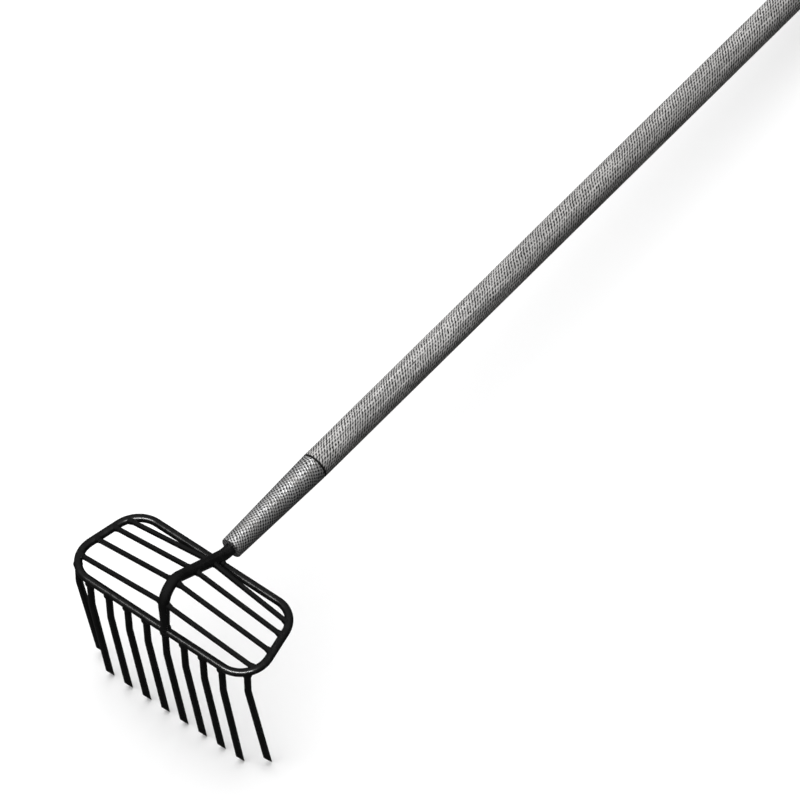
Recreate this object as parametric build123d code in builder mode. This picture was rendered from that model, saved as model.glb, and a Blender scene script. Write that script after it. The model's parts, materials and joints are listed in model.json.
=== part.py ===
from build123d import *
import os
from math import asin, atan2, cos, degrees, hypot, sin, sqrt

# A long-handled basket rake, lying at rest on its tooth tips and the butt of its handle.
# Millimetres, +Z up, origin on the ground under the middle of the tool's box.
# The tool itself is laid out in its own tilted frame: x across the head, p along the
# handle towards the butt, q square to both, away from the teeth. The point (0, 0, 0) of
# that frame is the middle of the front bar that carries the teeth.

# ---- teeth; knees and tips are (p, q), measured from the front of the ring above each tooth
TOOTH_COUNT = 10
TOOTH_PITCH = 25.4
TOOTH_DIA = 7.3
KNEE = (-3.8, -37.2)
TIP = (-0.2, -164.7)
END_KNEE = (-4.0, -28.0)
END_TIP = (3.6, -161.0)
KNEE_RADIUS = 24.0
TIP_BEVEL = 13.0
TIP_LAND = 1.2

# ---- basket ring: one rod bent to a flat rounded trapezoid, its ends met under the spine
RING_DIA = 8.8
BASKET_DEPTH = 94.2
FRONT_HALF_WIDTH = 128.8
BACK_HALF_WIDTH = 107.1
FRONT_CORNER_RADIUS = 29.4
BACK_CORNER_RADIUS = 31.7
SEAM_GAP = 1.6

# ---- spine: one bar that is the tang in the handle, then the arch over the basket
SPINE_DIA = 12.8
ARCH_DIA = 11.8
LANDING_DIA = 8.8
TANG_END_DIA = 8.0
TANG_STRAIGHT = 12.0
TANG_TAPER = 95.0
NECK_P = 105.0
ARCH_APEX = (9.0, 66.5)
LANDING_X = 14.0
LANDING_Q = 1.5
NECK_RADIUS = 26.0
ARCH_RADIUS = 19.3

# ---- grid rods, front to back: (p at the ring, how far along the spine from the front bar)
GRID_DIA = 5.6
GRID_ROWS = ((17.9, 39.4), (42.9, 65.8), (64.4, 102.1), (79.7, 134.4))
GRID_CROWN_RADIUS = 10.0

# ---- handle and ferrule
AXIS_Q = 0.7
FERRULE_FOOT_P = 114.7
FERRULE_TOP_P = 240.9
FERRULE_FOOT_DIA = 24.0
FERRULE_TOP_DIA = 30.5
FERRULE_WALL = 1.5
FERRULE_EDGE = 0.8
SHOULDER_GAP = 1.2
SHOULDER_CHAMFER = 0.9
HANDLE_DIA = 30.6
GRIP_DIA = 31.4
GRIP_START_P = 1000.0
BUTT_P = 1500.0
BUTT_ROUND = 9.0
HANG_HOLE_DIA = 9.0
HANG_HOLE_FROM_BUTT = 45.0
NAIL_DIA = 3.2
NAIL_HEAD_DIA = 7.0
NAIL_HEAD_HEIGHT = 1.3
NAIL_HEAD_ROUND = 0.9
NAIL_FROM_FOOT = 34.0
NAIL_INTO_TANG = 3.0

# ---- weld beads: radii, and where each centre stands off the rod that it sits on
SEAM_PROUD = 0.5
SEAM_ROUND = 0.45
TOOTH_BEAD = 5.0
TOOTH_BEAD_FORWARD = 0.7
TOOTH_BEAD_BELOW = 3.4
GRID_COLLAR_BASE = 8.6
GRID_COLLAR_TIP = 6.1
GRID_COLLAR_LENGTH = 5.5
GRID_COLLAR_INSET = 2.0
FOOT_BEAD = 5.6
FOOT_BEAD_BACK = 0.6
FOOT_BEAD_ABOVE = 2.2
NECK_BEAD = 4.4
NECK_BEAD_APART = 10.0
NECK_BEAD_ABOVE = 2.8

# ---- worked out from the above
tooth_radius = TOOTH_DIA / 2
ring_radius = RING_DIA / 2
grid_radius = GRID_DIA / 2
butt_radius = GRIP_DIA / 2
FROM_BASE = (Align.CENTER, Align.CENTER, Align.MIN)
FROM_TOP = (Align.CENTER, Align.CENTER, Align.MAX)


def unit(p, q):
    """The unit vector along (p, q)."""
    length = hypot(p, q)
    return (p / length, q / length)


# The tooth points down along (down_p, down_q); (across_p, across_q) is its handle side.
down_p, down_q = unit(TIP[0] - KNEE[0], TIP[1] - KNEE[1])
across_p, across_q = (-down_q, down_p)

# At rest the handle side of each tip and the round of the butt both touch the ground.
touch_p = TIP[0] + tooth_radius * across_p
touch_q = TIP[1] + tooth_radius * across_q
rise = AXIS_Q - butt_radius + BUTT_ROUND - touch_q
run = BUTT_P - BUTT_ROUND - touch_p
slope = atan2(rise, run) - asin(BUTT_ROUND / hypot(rise, run))

# The tool's frame on the ground. The origin's y puts the box's middle at y = 0.
head_z = touch_p * sin(slope) - touch_q * cos(slope)
front_y = (TIP[0] - tooth_radius) * cos(slope) + (TIP[1] + TIP_BEVEL) * sin(slope)
back_y = BUTT_P * cos(slope) + (AXIS_Q + butt_radius - BUTT_ROUND) * sin(slope)
head_y = -(front_y + back_y) / 2
tool = Plane(
    origin=(0, head_y, head_z),
    x_dir=(1, 0, 0),
    z_dir=(0, sin(slope), cos(slope)),
)
handle_axis = Axis(tool.from_local_coords((0, 0, AXIS_Q)), tool.y_dir)


def side_plane(x):
    """The upright plane across the head at x, with p to its right and q up it."""
    return Plane(origin=tool.from_local_coords((x, 0, 0)), x_dir=tool.y_dir, z_dir=tool.x_dir)


def section_plane(line, at):
    """The plane square to a line, at its start (0) or its end (1)."""
    return Plane(origin=line @ at, z_dir=line % at)


# The ring's sides lean in by this much for each millimetre towards the handle.
lean = (FRONT_HALF_WIDTH - BACK_HALF_WIDTH) / BASKET_DEPTH
stretch = sqrt(1 + lean * lean)
# A corner's centre lies one radius in from the end bar and from the leaning side.
front_corner_x = FRONT_HALF_WIDTH - FRONT_CORNER_RADIUS * (lean + stretch)
back_corner_p = BASKET_DEPTH - BACK_CORNER_RADIUS
back_corner_x = FRONT_HALF_WIDTH - lean * back_corner_p - BACK_CORNER_RADIUS * stretch
front_arc_end_p = FRONT_CORNER_RADIUS * (1 + lean / stretch)
back_arc_start_p = back_corner_p + BACK_CORNER_RADIUS * lean / stretch


def ring_side_x(p):
    """Half the ring's width, between rod centres, at p."""
    if p < front_arc_end_p:
        return front_corner_x + sqrt(FRONT_CORNER_RADIUS**2 - (FRONT_CORNER_RADIUS - p) ** 2)
    if p > back_arc_start_p:
        return back_corner_x + sqrt(BACK_CORNER_RADIUS**2 - (p - back_corner_p) ** 2)
    return FRONT_HALF_WIDTH - lean * p


def ring_front_p(x):
    """Where the front of the ring is at x: 0 on the front bar, more on its corners."""
    beyond = max(0.0, abs(x) - front_corner_x)
    return FRONT_CORNER_RADIUS - sqrt(FRONT_CORNER_RADIUS**2 - beyond**2)


def spine_x(p):
    """The spine drifts evenly from the middle at its neck to the tooth it lands over."""
    return LANDING_X * (1 - p / NECK_P)


def tooth_x(number):
    """Where a tooth stands across the head, counted from the left."""
    return (number - (TOOTH_COUNT + 1) / 2) * TOOTH_PITCH


nodes = {}


def keep(builder, name):
    """Labels a finished piece and lists it for writing."""
    builder.part.label = name
    nodes[name] = builder.part


# ---- basket ring
with BuildPart() as basket_ring:
    with BuildLine(tool) as ring_line:
        FilletPolyline(
            (SEAM_GAP / 2, BASKET_DEPTH),
            (BACK_HALF_WIDTH, BASKET_DEPTH),
            (FRONT_HALF_WIDTH, 0),
            (-FRONT_HALF_WIDTH, 0),
            (-BACK_HALF_WIDTH, BASKET_DEPTH),
            (-SEAM_GAP / 2, BASKET_DEPTH),
            radius=[BACK_CORNER_RADIUS, FRONT_CORNER_RADIUS, FRONT_CORNER_RADIUS, BACK_CORNER_RADIUS],
        )
    with BuildSketch(section_plane(ring_line.line, 0)):
        Circle(ring_radius)
    sweep()
keep(basket_ring, "basket_ring")

# The weld that closes the ring, a disc bead a little proud of the rod.
with BuildPart() as ring_seam_weld:
    with BuildSketch(side_plane(0)):
        with Locations((BASKET_DEPTH, 0)):
            Circle(ring_radius + SEAM_PROUD)
    extrude(amount=SEAM_GAP / 2, both=True)
    fillet(ring_seam_weld.edges().filter_by(GeomType.CIRCLE), SEAM_ROUND)
keep(ring_seam_weld, "ring_seam_weld")

# ---- spine line: tang in the handle, neck, back run, arch, leg down to the front bar
apex_p, apex_q = ARCH_APEX
with BuildLine(tool) as spine_line:
    FilletPolyline(
        (0, FERRULE_FOOT_P + TANG_STRAIGHT, AXIS_Q),
        (0, NECK_P, AXIS_Q),
        (spine_x(apex_p), apex_p, apex_q),
        (LANDING_X, 0, 0),
        radius=[NECK_RADIUS, ARCH_RADIUS],
    )


spine_wire = spine_line.wires()[0]
tang_run, neck_bend, back_run, arch_bend, leg_run = spine_wire.edges()


def tapered_run(line, start_dia, end_dia):
    """Adds a round bar along a straight line, tapering from one diameter to the other."""
    with Locations(section_plane(line, 0)):
        Cone(start_dia / 2, end_dia / 2, line.length, align=FROM_BASE)


def bent_run(line, dia):
    """Adds a round bar of one diameter along a bend."""
    with BuildSketch(section_plane(line, 0)) as section:
        Circle(dia / 2)
    sweep(section.sketch, path=line)


# ---- grid rods, each one rod tented over the basket, its crown in a hole through the spine
grid_rods = []
grid_wires = []
for row, (ring_p, along_spine) in enumerate(GRID_ROWS, start=1):
    at = 1 - along_spine / spine_wire.length
    crown = tool.to_local_coords(spine_wire @ at)
    end_x = ring_side_x(ring_p)
    with BuildPart() as grid_rod:
        with BuildLine(tool) as grid_line:
            FilletPolyline(
                (-end_x, ring_p, 0),
                (crown.X, crown.Y, crown.Z),
                (end_x, ring_p, 0),
                radius=GRID_CROWN_RADIUS,
            )
        with BuildSketch(section_plane(grid_line.line, 0)):
            Circle(grid_radius)
        sweep()
        add(basket_ring.part, mode=Mode.SUBTRACT)
    keep(grid_rod, f"grid_rod_{row}")
    grid_rods.append(grid_rod.part)
    grid_wires.append(grid_line.wires()[0])

# ---- spine, notched over the ring and its seam, with a hole for each grid rod
with BuildPart() as spine:
    with Locations(section_plane(tang_run, 0)):
        Cone(TANG_END_DIA / 2, SPINE_DIA / 2, TANG_TAPER, align=FROM_TOP)
        Cylinder(SPINE_DIA / 2, tang_run.length, align=FROM_BASE)
    bent_run(neck_bend, SPINE_DIA)
    tapered_run(back_run, SPINE_DIA, ARCH_DIA)
    bent_run(arch_bend, ARCH_DIA)
    tapered_run(leg_run, ARCH_DIA, LANDING_DIA)
    with BuildSketch(tool.offset(LANDING_Q)):
        with Locations((LANDING_X, 0)):
            Circle(SPINE_DIA)
    extrude(amount=-SPINE_DIA, mode=Mode.SUBTRACT)
    add(basket_ring.part, mode=Mode.SUBTRACT)
    add(ring_seam_weld.part, mode=Mode.SUBTRACT)
    for rod in grid_rods:
        add(rod, mode=Mode.SUBTRACT)

# ---- teeth, welded under the front bar; the end two sit on the ring's corners
teeth = []
for number in range(1, TOOTH_COUNT + 1):
    x = tooth_x(number)
    front_p = ring_front_p(x)
    knee, tip = (END_KNEE, END_TIP) if number in (1, TOOTH_COUNT) else (KNEE, TIP)
    with BuildPart() as tooth:
        with BuildLine(side_plane(x)) as tooth_line:
            FilletPolyline(
                (front_p, 0),
                (front_p + knee[0], knee[1]),
                (front_p + tip[0], tip[1]),
                radius=KNEE_RADIUS,
            )
        with BuildSketch(section_plane(tooth_line.line, 0)):
            Circle(tooth_radius)
        sweep()
        add(basket_ring.part, mode=Mode.SUBTRACT)
        # The chisel cut slopes from the front face down to a narrow land at the back.
        tip_plane = Plane(
            origin=tooth_line.line @ 1,
            x_dir=tool.x_dir.cross(tooth_line.line % 1),
            z_dir=tool.x_dir,
        )
        with BuildSketch(tip_plane):
            with BuildLine():
                Polyline(
                    (tooth_radius - TIP_LAND, 0),
                    (-tooth_radius, TIP_BEVEL),
                    (-TOOTH_DIA, TIP_BEVEL),
                    (-TOOTH_DIA, -TOOTH_DIA),
                    (tooth_radius - TIP_LAND, -TOOTH_DIA),
                    close=True,
                )
            make_face()
        extrude(amount=TOOTH_DIA, both=True, mode=Mode.SUBTRACT)
    keep(tooth, f"tooth_{number:02d}")
    teeth.append(tooth.part)

# ---- ferrule: a tapered steel socket, turned in at its foot around the tang
wall = FERRULE_WALL
foot_radius = FERRULE_FOOT_DIA / 2
top_radius = FERRULE_TOP_DIA / 2
with BuildPart() as ferrule:
    with BuildSketch(side_plane(0)):
        with BuildLine():
            Polyline(
                (FERRULE_FOOT_P, AXIS_Q),
                (FERRULE_FOOT_P, AXIS_Q + foot_radius),
                (FERRULE_TOP_P, AXIS_Q + top_radius),
                (FERRULE_TOP_P, AXIS_Q + top_radius - wall),
                (FERRULE_FOOT_P + wall, AXIS_Q + foot_radius - wall),
                (FERRULE_FOOT_P + wall, AXIS_Q),
                close=True,
            )
        make_face()
    revolve(axis=handle_axis)
    foot_rim = ferrule.edges().filter_by(GeomType.CIRCLE).filter_by(
        lambda edge: abs(edge.radius - foot_radius) < 0.01
    )
    fillet(foot_rim, FERRULE_EDGE)
    add(spine.part, mode=Mode.SUBTRACT)

# ---- handle: a tapered nose inside the ferrule, a shoulder flush with it, a rounded butt
handle_radius = HANDLE_DIA / 2
with BuildPart() as handle:
    with BuildSketch(side_plane(0)):
        with BuildLine():
            nose = Polyline(
                (FERRULE_FOOT_P + wall, AXIS_Q),
                (FERRULE_FOOT_P + wall, AXIS_Q + foot_radius - wall),
                (FERRULE_TOP_P, AXIS_Q + top_radius - wall),
                (FERRULE_TOP_P + SHOULDER_GAP, AXIS_Q + top_radius - wall),
                (FERRULE_TOP_P + SHOULDER_GAP, AXIS_Q + handle_radius - SHOULDER_CHAMFER),
                (FERRULE_TOP_P + SHOULDER_GAP + SHOULDER_CHAMFER, AXIS_Q + handle_radius),
                (GRIP_START_P, AXIS_Q + butt_radius),
                (BUTT_P - BUTT_ROUND, AXIS_Q + butt_radius),
            )
            RadiusArc(nose @ 1, (BUTT_P, AXIS_Q + butt_radius - BUTT_ROUND), BUTT_ROUND)
            Polyline(
                (BUTT_P, AXIS_Q + butt_radius - BUTT_ROUND),
                (BUTT_P, AXIS_Q),
                (FERRULE_FOOT_P + wall, AXIS_Q),
            )
        make_face()
    revolve(axis=handle_axis)
    with BuildSketch(tool.offset(AXIS_Q)):
        with Locations((0, BUTT_P - HANG_HOLE_FROM_BUTT)):
            Circle(HANG_HOLE_DIA / 2)
    extrude(amount=butt_radius + 1, both=True, mode=Mode.SUBTRACT)
    add(spine.part, mode=Mode.SUBTRACT)

# ---- ferrule nail, driven from below through ferrule and wood into the tang
nail_p = FERRULE_FOOT_P + NAIL_FROM_FOOT
along_ferrule = NAIL_FROM_FOOT / (FERRULE_TOP_P - FERRULE_FOOT_P)
ferrule_radius_here = foot_radius + (top_radius - foot_radius) * along_ferrule
nail_length = ferrule_radius_here - SPINE_DIA / 2 + NAIL_INTO_TANG
with BuildPart() as ferrule_nail:
    with BuildSketch(tool.offset(AXIS_Q - ferrule_radius_here)):
        with Locations((0, nail_p)):
            Circle(NAIL_HEAD_DIA / 2)
    extrude(amount=-NAIL_HEAD_HEIGHT)
    nail_rim = ferrule_nail.edges().filter_by(GeomType.CIRCLE).sort_by(Axis.Z)[0]
    fillet(nail_rim, NAIL_HEAD_ROUND)
    with BuildSketch(tool.offset(AXIS_Q - ferrule_radius_here)):
        with Locations((0, nail_p)):
            Circle(NAIL_DIA / 2)
    extrude(amount=nail_length)
keep(ferrule_nail, "ferrule_nail")

for builder in (spine, ferrule, handle):
    with builder:
        add(ferrule_nail.part, mode=Mode.SUBTRACT)
keep(spine, "spine")
keep(ferrule, "ferrule")
keep(handle, "handle")

# ---- welds, each shaped around the pieces that it joins


def beads(name, places, radius, neighbours):
    """Keeps a node of round weld beads at places, hollowed by the pieces they join."""
    with BuildPart() as weld:
        with Locations(*places):
            Sphere(radius)
        for piece in neighbours:
            add(piece, mode=Mode.SUBTRACT)
    keep(weld, name)


def collars(name, seats, neighbours):
    """Keeps a node of tapered weld collars on the grid rods, each starting at its seat."""
    with BuildPart() as weld:
        with Locations(*seats):
            Cone(GRID_COLLAR_BASE / 2, GRID_COLLAR_TIP / 2, GRID_COLLAR_LENGTH, align=FROM_BASE)
            Cylinder(grid_radius, GRID_COLLAR_LENGTH, align=FROM_BASE, mode=Mode.SUBTRACT)
        for piece in neighbours:
            add(piece, mode=Mode.SUBTRACT)
    keep(weld, name)


tooth_places = []
for number in range(1, TOOTH_COUNT + 1):
    x = tooth_x(number)
    tooth_places.append(tool.from_local_coords((x, ring_front_p(x) - TOOTH_BEAD_FORWARD, -TOOTH_BEAD_BELOW)))
beads("tooth_welds", tooth_places, TOOTH_BEAD, [basket_ring.part, *teeth])

ring_seats = []
crown_seats = []
for wire in grid_wires:
    first_leg = wire.edges()[0]
    last_leg = wire.edges()[-1]
    inset = GRID_COLLAR_INSET
    ring_seats.append(Plane(first_leg @ 0 + (first_leg % 0) * inset, z_dir=first_leg % 0))
    ring_seats.append(Plane(last_leg @ 1 - (last_leg % 1) * inset, z_dir=-(last_leg % 1)))
    crown_seats.append(Plane(first_leg @ 1, z_dir=-(first_leg % 1)))
    crown_seats.append(Plane(last_leg @ 0, z_dir=last_leg % 0))
collars("grid_end_welds", ring_seats, [basket_ring.part])
collars("grid_crown_welds", crown_seats, [spine.part])

spine_neighbours = [basket_ring.part, ring_seam_weld.part, spine.part, nodes["tooth_welds"], *teeth]
foot_place = tool.from_local_coords((LANDING_X, FOOT_BEAD_BACK, FOOT_BEAD_ABOVE))
beads("spine_foot_weld", [foot_place], FOOT_BEAD, spine_neighbours)
neck_places = []
for side in (-0.5, 0.5):
    x = spine_x(BASKET_DEPTH) + side * NECK_BEAD_APART
    neck_places.append(tool.from_local_coords((x, BASKET_DEPTH, NECK_BEAD_ABOVE)))
beads("spine_neck_welds", neck_places, NECK_BEAD, spine_neighbours)

os.makedirs("parts", exist_ok=True)
for name, piece in nodes.items():
    export_step(piece, f"parts/{name}.step")
print("slope", degrees(slope), "head_y", head_y, "head_z", head_z)
whole = Compound(children=list(nodes.values())).bounding_box()
print(len(nodes), "nodes, box", whole.min, whole.max)
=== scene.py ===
import json
import math
import bpy
from mathutils import Matrix, Vector


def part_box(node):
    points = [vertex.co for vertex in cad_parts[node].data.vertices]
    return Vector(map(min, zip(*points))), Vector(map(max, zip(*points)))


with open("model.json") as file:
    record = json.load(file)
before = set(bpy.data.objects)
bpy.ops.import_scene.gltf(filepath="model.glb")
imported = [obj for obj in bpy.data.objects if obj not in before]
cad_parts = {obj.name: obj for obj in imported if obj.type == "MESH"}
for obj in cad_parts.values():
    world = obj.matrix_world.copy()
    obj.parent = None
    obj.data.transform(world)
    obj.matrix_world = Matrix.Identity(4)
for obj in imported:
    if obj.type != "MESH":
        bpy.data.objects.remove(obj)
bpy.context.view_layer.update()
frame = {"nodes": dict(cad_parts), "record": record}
nodes = frame["nodes"]

# ---------------------------------------------------------------- what the frame says
# Everything is in metres. The handle's axis comes from the record's grip mount; "along"
# is measured on it from the grip towards the butt, "across" is X, and "out" is square to
# both, away from the teeth.
grip = next(mount for mount in frame["record"]["mounts"] if mount["name"] == "handle_grip")
GRIP_POINT = Vector(grip["pos_m"])
ALONG = Vector(grip["axis"]).normalized()
ACROSS = Vector((1, 0, 0))
SLOPE = math.atan2(-ALONG.z, ALONG.y)
SHAFT = ["handle", "ferrule", "ferrule_nail"]
HEAD = [name for name in nodes if name not in SHAFT]


def half_width(node):
    low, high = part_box(node)
    return (high[0] - low[0]) / 2


def reach(node):
    """How far along the handle's axis the corner of a node's box with the highest Y is."""
    return (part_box(node)[1][1] - GRIP_POINT.y) / ALONG.y


# The slope puts the top of the ferrule's rim nearer to the butt than the rim's middle.
FERRULE_TOP = reach("ferrule") - half_width("ferrule") * math.tan(SLOPE)
BUTT = reach("handle")
HANDLE_RADIUS = half_width("handle")
TIP_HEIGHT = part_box("tooth_05")[0][2]

# ---------------------------------------------------------------- camera
# A long lens from above the tool's right side, rolled so that the handle runs up to the
# right. The target is a point just beside the handle, a little way up from the ferrule.
AZIMUTH = math.radians(54.897)
ELEVATION = math.radians(55.672)
ROLL = math.radians(17.492)
DISTANCE = 9.0098
TARGET = Vector((0.01574, -0.38153, 0.13021))
LENS_MM = 400.0
SENSOR_MM = 36.0


def make_camera():
    """Adds the camera and returns the picture's right, its up and the way to the camera."""
    back = Vector((
        math.sin(AZIMUTH) * math.cos(ELEVATION),
        -math.cos(AZIMUTH) * math.cos(ELEVATION),
        math.sin(ELEVATION),
    ))
    level_up = (Vector((0, 0, 1)) - back * back.z).normalized()
    level_right = level_up.cross(back)
    up = level_up * math.cos(ROLL) + level_right * math.sin(ROLL)
    right = up.cross(back)
    data = bpy.data.cameras.new("camera")
    data.lens = LENS_MM
    data.sensor_width = SENSOR_MM
    data.clip_end = 100.0
    camera = bpy.data.objects.new("camera", data)
    turn = Matrix((right, up, back)).transposed().to_4x4()
    camera.matrix_world = Matrix.Translation(TARGET + back * DISTANCE) @ turn
    bpy.context.scene.collection.objects.link(camera)
    bpy.context.scene.camera = camera
    return right, up, back


image_right, image_up, toward_camera = make_camera()

# ---------------------------------------------------------------- node helpers


class Tree:
    """One material's node tree. Each method adds a node and returns its output socket."""

    def __init__(self, name):
        self.material = bpy.data.materials.new(name)
        self.material.use_nodes = True
        self.nodes = self.material.node_tree.nodes
        self.links = self.material.node_tree.links
        self.shader = self.nodes["Principled BSDF"]

    def put(self, socket, value):
        """Links a socket to value where that is a socket, or sets it."""
        if isinstance(value, bpy.types.NodeSocket):
            self.links.new(value, socket)
        else:
            socket.default_value = value

    def finish(self, **inputs):
        """Sets or links the shader's own sockets, underscores standing for spaces."""
        for name, value in inputs.items():
            self.put(self.shader.inputs[name.replace("_", " ")], value)
        return self.material

    def math(self, operation, a, b=0.0):
        node = self.nodes.new("ShaderNodeMath")
        node.operation = operation
        self.put(node.inputs[0], a)
        self.put(node.inputs[1], b)
        return node.outputs[0]

    def remap(self, value, low, high, new_low=0.0, new_high=1.0):
        """Smoothly takes the range low to high to the range new_low to new_high."""
        node = self.nodes.new("ShaderNodeMapRange")
        node.interpolation_type = "SMOOTHSTEP"
        for socket, number in zip(node.inputs, (value, low, high, new_low, new_high)):
            self.put(socket, number)
        return node.outputs[0]

    def mix(self, factor, a, b):
        """Mixes two colours."""
        node = self.nodes.new("ShaderNodeMix")
        node.data_type = "RGBA"
        self.put(node.inputs[0], factor)
        self.put(node.inputs[6], a)
        self.put(node.inputs[7], b)
        return node.outputs[2]

    def noise(self, vector, scale, detail=2.0, roughness=0.5, distortion=0.0):
        node = self.nodes.new("ShaderNodeTexNoise")
        self.put(node.inputs["Vector"], vector)
        self.put(node.inputs["Scale"], scale)
        node.inputs["Detail"].default_value = detail
        node.inputs["Roughness"].default_value = roughness
        node.inputs["Distortion"].default_value = distortion
        return node.outputs["Fac"]

    def place(self):
        """The point in the tool's frame: X across, Y along from the grip, Z out."""
        source = self.nodes.new("ShaderNodeTexCoord")
        node = self.nodes.new("ShaderNodeMapping")
        turn = Matrix.Rotation(SLOPE, 3, "X")
        node.inputs["Rotation"].default_value = (SLOPE, 0, 0)
        node.inputs["Location"].default_value = -(turn @ GRIP_POINT)
        self.links.new(source.outputs["Object"], node.inputs["Vector"])
        return node.outputs["Vector"]

    def split(self, vector):
        node = self.nodes.new("ShaderNodeSeparateXYZ")
        self.links.new(vector, node.inputs[0])
        return node.outputs[0], node.outputs[1], node.outputs[2]

    def join(self, x, y, z):
        node = self.nodes.new("ShaderNodeCombineXYZ")
        for socket, value in zip(node.inputs, (x, y, z)):
            self.put(socket, value)
        return node.outputs[0]

    def stretch(self, vector, factors):
        """Multiplies a vector by a factor on each axis."""
        node = self.nodes.new("ShaderNodeVectorMath")
        node.operation = "MULTIPLY"
        self.links.new(vector, node.inputs[0])
        node.inputs[1].default_value = factors
        return node.outputs[0]

    def twist(self, vector, turns_per_metre):
        """Turns the point about the handle's axis in proportion to its place along it."""
        x, y, z = self.split(vector)
        angle = self.math("MULTIPLY", y, turns_per_metre * 2 * math.pi)
        cosine = self.math("COSINE", angle)
        sine = self.math("SINE", angle)
        new_x = self.math("SUBTRACT", self.math("MULTIPLY", x, cosine), self.math("MULTIPLY", z, sine))
        new_z = self.math("ADD", self.math("MULTIPLY", x, sine), self.math("MULTIPLY", z, cosine))
        return self.join(new_x, y, new_z)

    def angle(self, vector):
        """The angle about the handle's axis, and the distance from it."""
        x, y, z = self.split(vector)
        flat = self.nodes.new("ShaderNodeVectorMath")
        flat.operation = "LENGTH"
        self.links.new(self.join(x, 0.0, z), flat.inputs[0])
        return self.math("ARCTAN2", z, x), flat.outputs["Value"]

    def helix(self, angle, distance, starts, pitch, sway):
        """Waves, from -1 to 1, whose crests are helices: so many starts, pitch apart."""
        turned = self.math("MULTIPLY", angle, float(starts))
        phase = self.math("SUBTRACT", turned, self.math("MULTIPLY", distance, 2 * math.pi / pitch))
        return self.math("SINE", self.math("ADD", phase, sway))

    def bump(self, height, distance, strength):
        node = self.nodes.new("ShaderNodeBump")
        node.inputs["Strength"].default_value = strength
        node.inputs["Distance"].default_value = distance
        self.links.new(height, node.inputs["Height"])
        return node.outputs["Normal"]


def grey(value, warmth=0.0):
    """A grey of this linear brightness, a little warm where warmth is above 0."""
    return (value * (1 + warmth), value, value * (1 - warmth), 1)


# ---------------------------------------------------------------- materials
# Marks that wind round the handle's axis: how many starts, and how far apart the marks lie
# along it. The grain's rows are so far apart along it that they are straight.
FEED_MARKS = (23, 0.0039)
GRAIN_ROWS = (31, 10.0)
BRUSH_MARKS = (13, 0.0033)
CROSS_MARKS = (-23, 0.007)
RING_SPACING = 0.0024
PITH_ACROSS = -0.03
PITH_OUT = -0.012
# The joint's dirt is solid up to the first distance from the ferrule, gone at the second.
JOINT_DIRT = (0.0023, 0.003)


def handle_wood():
    """Weathered grey ash: growth bands, open grain broken up by slanting feed marks."""
    tree = Tree("handle_wood")
    place = tree.place()
    angle, radius = tree.angle(place)
    distance = tree.split(place)[1]
    # Growth bands and fibres run along the handle, so their noise is drawn out along Y.
    bands = tree.noise(tree.stretch(place, (1, 0.035, 1)), 330, 3, 0.6, 0.4)
    fibres = tree.noise(tree.stretch(place, (1, 0.02, 1)), 1500, 3, 0.7)
    slow = tree.noise(tree.stretch(place, (1, 0.25, 1)), 26, 2)
    broken = tree.noise(tree.stretch(place, (1, 0.6, 1)), 420, 2)
    # The open grain is rows of short dashes: slanting feed marks crossed by the grain.
    sway = tree.math("MULTIPLY", tree.noise(tree.stretch(place, (1, 0.3, 1)), 90, 2), 9.0)
    marks = tree.helix(angle, distance, *FEED_MARKS, sway)
    grain = tree.helix(angle, distance, *GRAIN_ROWS, sway)
    gaps = tree.math("MULTIPLY", tree.math("SUBTRACT", broken, 0.5), 3.2)
    crossed = tree.math("ADD", marks, tree.math("MULTIPLY", grain, 0.55))
    dashes = tree.remap(tree.math("ADD", crossed, gaps), 0.05, 0.6)
    on_the_side = tree.remap(radius, HANDLE_RADIUS * 0.8, HANDLE_RADIUS * 0.95)
    dashes = tree.math("MULTIPLY", dashes, on_the_side)
    ground = tree.mix(tree.remap(bands, 0.38, 0.62), grey(0.46, 0.01), grey(0.82, 0.015))
    ground = tree.mix(tree.remap(slow, 0.35, 0.7, 0.0, 0.4), ground, grey(0.42, 0.03))
    ground = tree.mix(tree.remap(fibres, 0.45, 0.75, 0.0, 0.5), ground, grey(0.2, 0.03))
    colour = tree.mix(dashes, ground, grey(0.015, 0.02))
    # The sawn butt shows growth rings about a pith that lies well off the axis.
    x, _, z = tree.split(place)
    from_pith = tree.join(tree.math("SUBTRACT", x, PITH_ACROSS), 0.0, tree.math("SUBTRACT", z, PITH_OUT))
    growth = tree.math("MULTIPLY", tree.angle(from_pith)[1], 2 * math.pi / RING_SPACING)
    wander = tree.math("MULTIPLY", tree.noise(place, 120, 2), 3.0)
    rings = tree.math("SINE", tree.math("ADD", growth, wander))
    end_grain = tree.mix(tree.remap(rings, -0.2, 0.9), grey(0.5, 0.04), grey(0.13, 0.06))
    colour = tree.mix(tree.remap(distance, BUTT - 0.003, BUTT - 0.0005), colour, end_grain)
    # Old varnish and dirt fill the joint with the ferrule, and a rim of wood next to it.
    solid, gone = JOINT_DIRT
    joint = tree.remap(distance, FERRULE_TOP + solid, FERRULE_TOP + gone, 1.0, 0.0)
    colour = tree.mix(joint, colour, grey(0.006, 0.05))
    height = tree.math("SUBTRACT", tree.math("MULTIPLY", fibres, 0.4), dashes)
    return tree.finish(
        Base_Color=colour,
        Roughness=tree.remap(fibres, 0.3, 0.7, 0.5, 0.72),
        Normal=tree.bump(height, 0.0003, 0.6),
    )


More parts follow.
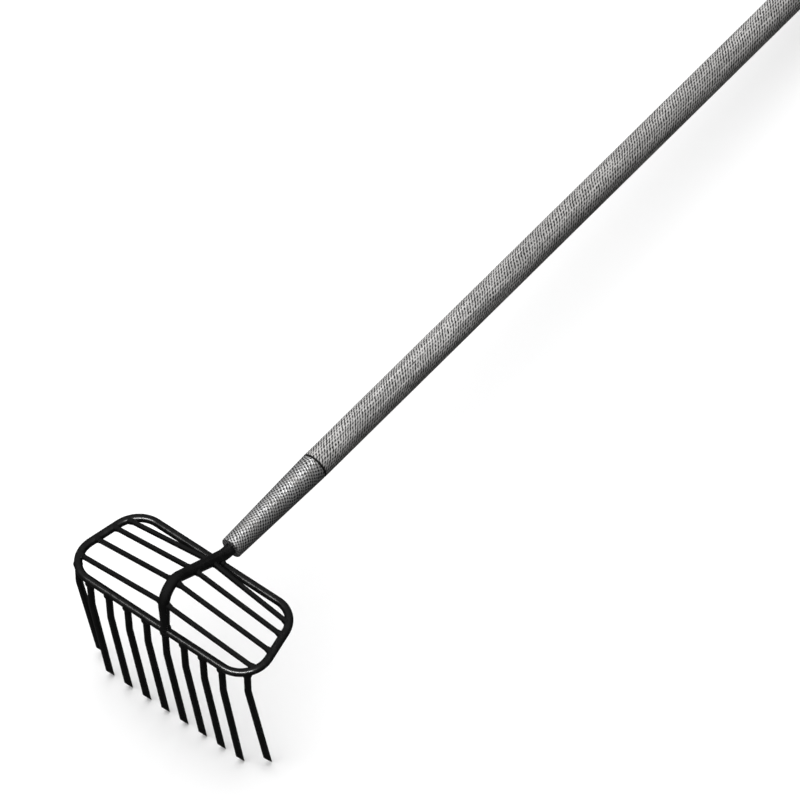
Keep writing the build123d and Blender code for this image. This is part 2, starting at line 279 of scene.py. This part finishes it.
def ferrule_steel():
    """Dull drawn steel, brushed round on a slant."""
    tree = Tree("ferrule_steel")
    place = tree.place()
    angle = tree.angle(place)[0]
    distance = tree.split(place)[1]
    twisted = tree.stretch(tree.twist(place, -23.0), (1, 0.06, 1))
    scratches = tree.noise(twisted, 900, 3, 0.65)
    cloud = tree.noise(place, 60, 3)
    sway = tree.math("MULTIPLY", tree.noise(place, 90, 2), 9.0)
    brushed = tree.helix(angle, distance, *BRUSH_MARKS, sway)
    broken = tree.math("MULTIPLY", tree.helix(angle, distance, *CROSS_MARKS, sway), 0.8)
    rough = tree.math("MULTIPLY", tree.math("SUBTRACT", scratches, 0.5), 4.5)
    lines = tree.math("ADD", tree.math("ADD", brushed, broken), rough)
    hatch = tree.remap(lines, -0.3, 0.9)
    colour = tree.mix(hatch, grey(0.62), grey(0.03))
    colour = tree.mix(tree.remap(cloud, 0.5, 0.7, 0.0, 0.35), colour, grey(0.25, 0.06))
    return tree.finish(
        Base_Color=colour,
        Metallic=0.7,
        Roughness=tree.remap(scratches, 0.3, 0.7, 0.38, 0.6),
        Normal=tree.bump(lines, 0.0002, 0.5),
    )


def nail_steel():
    """A plain bright nail, its head marked by the hammer."""
    tree = Tree("nail_steel")
    place = tree.place()
    dents = tree.noise(place, 900, 2)
    colour = tree.mix(tree.remap(dents, 0.4, 0.6), grey(0.25), grey(0.42, 0.03))
    return tree.finish(
        Base_Color=colour,
        Metallic=0.8,
        Roughness=tree.remap(dents, 0.3, 0.7, 0.3, 0.55),
        Normal=tree.bump(dents, 0.0003, 0.6),
    )


def head_enamel():
    """Gloss black enamel on steel rod, worn to dark steel at the tooth tips."""
    tree = Tree("head_enamel")
    source = tree.nodes.new("ShaderNodeTexCoord")
    place = source.outputs["Object"]
    peel = tree.noise(place, 1100, 2)
    runs = tree.noise(tree.stretch(place, (1, 1, 0.3)), 160, 3)
    scuff = tree.noise(place, 420, 4, 0.7)
    low = tree.remap(tree.split(place)[2], TIP_HEIGHT + 0.006, TIP_HEIGHT + 0.05, 1.0, 0.0)
    worn = tree.remap(tree.math("ADD", tree.math("MULTIPLY", low, 0.5), scuff), 0.78, 0.95)
    colour = tree.mix(tree.remap(runs, 0.4, 0.65), grey(0.006), grey(0.013, -0.02))
    colour = tree.mix(worn, colour, grey(0.03, 0.05))
    height = tree.math("ADD", tree.math("MULTIPLY", peel, 0.4), runs)
    roughness = tree.remap(runs, 0.3, 0.7, 0.2, 0.3)
    return tree.finish(
        Base_Color=colour,
        Metallic=tree.math("MULTIPLY", worn, 0.6),
        Roughness=tree.math("ADD", roughness, tree.math("MULTIPLY", worn, 0.25)),
        Normal=tree.bump(height, 0.0003, 0.15),
    )


SHARP_DEGREES = 40


def give(names, material):
    """Gives CAD nodes a material, and smooths all but their sharper edges."""
    for name in names:
        mesh = nodes[name].data
        mesh.materials.clear()
        mesh.materials.append(material)
        for polygon in mesh.polygons:
            polygon.use_smooth = True
        mesh.set_sharp_from_angle(angle=math.radians(SHARP_DEGREES))


give(["handle"], handle_wood())
give(["ferrule"], ferrule_steel())
give(["ferrule_nail"], nail_steel())
give(HEAD, head_enamel())

# ---------------------------------------------------------------- floor and light
FLOOR_HALF = 40.0


def make_floor():
    """A pale floor that takes light and shadow but throws none back on the tool."""
    mesh = bpy.data.meshes.new("floor")
    corners = [(-FLOOR_HALF, -FLOOR_HALF, 0), (FLOOR_HALF, -FLOOR_HALF, 0)]
    corners += [(FLOOR_HALF, FLOOR_HALF, 0), (-FLOOR_HALF, FLOOR_HALF, 0)]
    mesh.from_pydata(corners, [], [(0, 1, 2, 3)])
    floor = bpy.data.objects.new("floor", mesh)
    bpy.context.scene.collection.objects.link(floor)
    mesh.materials.append(Tree("pale_floor").finish(Base_Color=grey(0.9), Roughness=0.9))
    floor.visible_diffuse = False
    floor.visible_glossy = False
    return floor


def make_light(name, direction, distance, size, power, receivers, aim=TARGET, gloss_only=False):
    """A round soft light that shines on the receivers from this direction."""
    data = bpy.data.lights.new(name, "AREA")
    data.shape = "DISK"
    data.size = size
    data.energy = power
    light = bpy.data.objects.new(name, data)
    light.location = aim + direction.normalized() * distance
    light.rotation_mode = "QUATERNION"
    light.rotation_quaternion = direction.to_track_quat("Z", "Y")
    light.visible_camera = False
    light.visible_diffuse = not gloss_only
    group = bpy.data.collections.new(f"{name}_shines_on")
    for obj in receivers:
        group.objects.link(obj)
    light.light_linking.receiver_collection = group
    bpy.context.scene.collection.objects.link(light)


def make_world(overhead, level):
    """A dim studio, brighter overhead than at the level of the floor and below."""
    world = bpy.data.worlds.new("studio")
    world.use_nodes = True
    tree = world.node_tree
    source = tree.nodes.new("ShaderNodeTexCoord")
    parts = tree.nodes.new("ShaderNodeSeparateXYZ")
    ramp = tree.nodes.new("ShaderNodeMapRange")
    tree.links.new(source.outputs["Generated"], parts.inputs[0])
    tree.links.new(parts.outputs[2], ramp.inputs[0])
    for socket, value in zip(ramp.inputs[1:], (-0.2, 1.0, level, overhead)):
        socket.default_value = value
    tree.links.new(ramp.outputs[0], tree.nodes["Background"].inputs["Strength"])
    tree.nodes["Background"].inputs["Color"].default_value = (1, 1, 1, 1)
    bpy.context.scene.world = world


def turned(degrees_left, towards_head):
    """The way to a light: from the camera's side of the handle, turned about the handle
    to the picture's upper left, then leant along the handle towards the head."""
    square = (toward_camera - ALONG * toward_camera.dot(ALONG)).normalized()
    upper_left = ALONG.cross(square)
    if upper_left.dot(image_up - image_right) < 0:
        upper_left = -upper_left
    angle = math.radians(degrees_left)
    return square * math.cos(angle) + upper_left * math.sin(angle) - ALONG * towards_head


GLINT_TANGENTS = (10, 21, 32, 43, 54)


def make_glints(receivers):
    """A row of small lamps, whose glints follow the ring round the two corners that run
    from the bar's direction to the handle's. A rod shines where it is square to the
    halfway direction between lamp and camera, so each lamp serves one tangent."""
    low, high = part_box("basket_ring")
    middle = (Vector(low) + Vector(high)) / 2
    for number, degrees in enumerate(GLINT_TANGENTS, start=1):
        turn = math.radians(degrees)
        tangent = ACROSS * math.cos(turn) + ALONG * math.sin(turn)
        halfway = (toward_camera - tangent * tangent.dot(toward_camera)).normalized()
        way = halfway * 2 * halfway.dot(toward_camera) - toward_camera
        make_light(
            f"glint_{number}",
            way,
            distance=3.0,
            size=0.45,
            power=45,
            receivers=receivers,
            aim=middle,
            gloss_only=True,
        )


floor = make_floor()
make_world(overhead=0.35, level=0.05)
shaft_objects = [nodes[name] for name in SHAFT]
make_light("key", turned(48, 0.2), distance=3.5, size=1.8, power=105, receivers=shaft_objects)
make_light("overhead", Vector((-0.2, 0.1, 1)), distance=4.0, size=12.0, power=570, receivers=[floor])
make_glints([nodes["basket_ring"]])
bpy.context.scene.view_settings.view_transform = "Standard"
